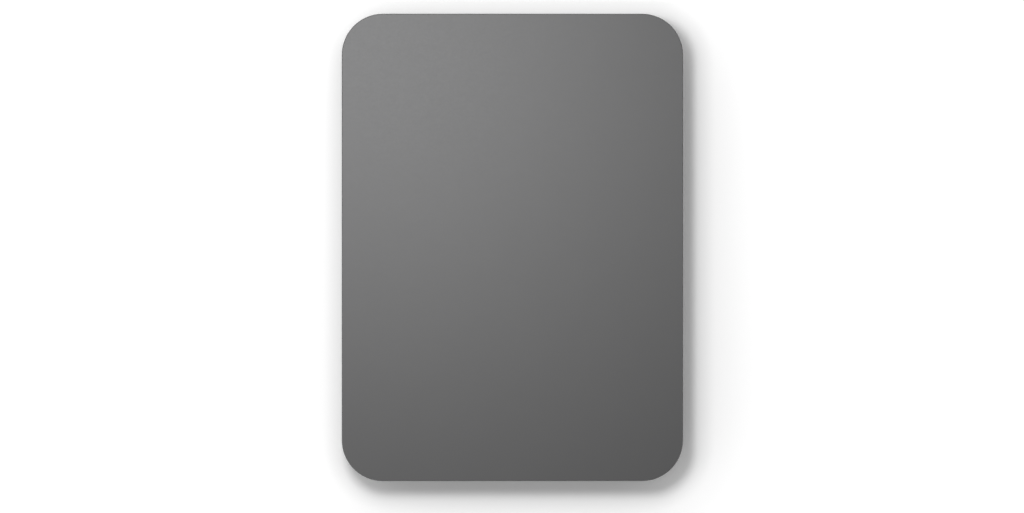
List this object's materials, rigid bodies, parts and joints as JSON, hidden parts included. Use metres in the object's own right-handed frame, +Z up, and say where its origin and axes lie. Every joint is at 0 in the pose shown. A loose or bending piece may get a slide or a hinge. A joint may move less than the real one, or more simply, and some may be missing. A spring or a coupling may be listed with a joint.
{
  "type": "portable external hard drive",
  "caption": "Flat grey metal slab with rounded corners, holding a disk drive with a spinning disk and a swinging head arm, and a cable port on one short end.",
  "frame": {"origin": "centre of the footprint, on the surface the feet stand on", "axes": "+Z up through the plain top face, +Y along the length away from the port, +X to the right"},
  "size_m": [0.089, 0.1218, 0.0133],
  "materials": {
    "cover_metal": "bead-blasted, satin grey",
    "frame_plastic": "moulded, fine grain",
    "foot_rubber": "matt",
    "mount_rubber": "matt, soft",
    "board": "satin solder mask",
    "chip": "moulded, matt",
    "connector_plastic": "moulded, satin",
    "port_steel": "drawn, bright",
    "lamp_body": "moulded",
    "light_guide": "frosted",
    "casting": "die-cast",
    "lid_steel": "stamped, satin",
    "filter_cloth": "felted",
    "bronze": "turned",
    "lamination": "blanked",
    "copper": "enamelled wire",
    "turned_aluminium": "machined",
    "magnet": "nickel plated",
    "disk_surface": "polished",
    "spring_steel": "bright",
    "slider_ceramic": "lapped",
    "nickel": "nickel plated, satin",
    "ramp_plastic": "moulded",
    "polyimide": "film"
  },
  "bodies": {
    "enclosure": {"top_cover": "cover_metal", "bottom_cover": "cover_metal", "inner_frame": "frame_plastic", "foot_front_left": "foot_rubber", "foot_front_right": "foot_rubber", "foot_rear_left": "foot_rubber", "foot_rear_right": "foot_rubber", "bumper_front_left": "mount_rubber", "bumper_front_right": "mount_rubber", "bumper_rear_left": "mount_rubber", "bumper_rear_right": "mount_rubber", "bridge_board": "board", "bridge_chip": "chip", "sata_socket": "connector_plastic", "usb_shell": "port_steel", "usb_tongue": "connector_plastic", "status_led": "lamp_body", "light_pipe": "light_guide", "drive_base": "casting", "drive_lid": "lid_steel", "air_filter": "filter_cloth", "bearing_sleeve": "bronze", "stator_core": "lamination", "stator_windings": "copper", "pivot_shaft": "spring_steel", "lower_yoke": "nickel", "upper_yoke": "nickel", "lower_magnet": "magnet", "upper_magnet": "magnet", "outer_stop": "mount_rubber", "inner_stop": "mount_rubber", "parking_ramp": "ramp_plastic", "flex_bracket": "connector_plastic", "flex_cable": "polyimide", "drive_board": "board", "drive_chips": "chip", "sata_plug": "connector_plastic"},
    "disk_pack": {"spindle_hub": "turned_aluminium", "rotor_magnet": "magnet", "platter": "disk_surface", "disk_clamp": "spring_steel"},
    "head_stack": {"actuator_arm": "turned_aluminium", "pivot_bearing": "spring_steel", "voice_coil": "copper", "lower_suspension": "spring_steel", "upper_suspension": "spring_steel", "head_sliders": "slider_ceramic"}
  },
  "joints": [
    {"name": "spindle_spin", "type": "hinge", "parent": "enclosure", "child": "disk_pack", "pos_m": [0, 0.02047, 0.00772], "axis": [0, 0, 1], "continuous": true},
    {"name": "actuator_swing", "type": "hinge", "parent": "enclosure", "child": "head_stack", "pos_m": [0.009, -0.01644, 0.00772], "axis": [0, 0, 1], "range_deg": [-38.36, 0], "deforming": ["flex_cable"]}
  ]
}
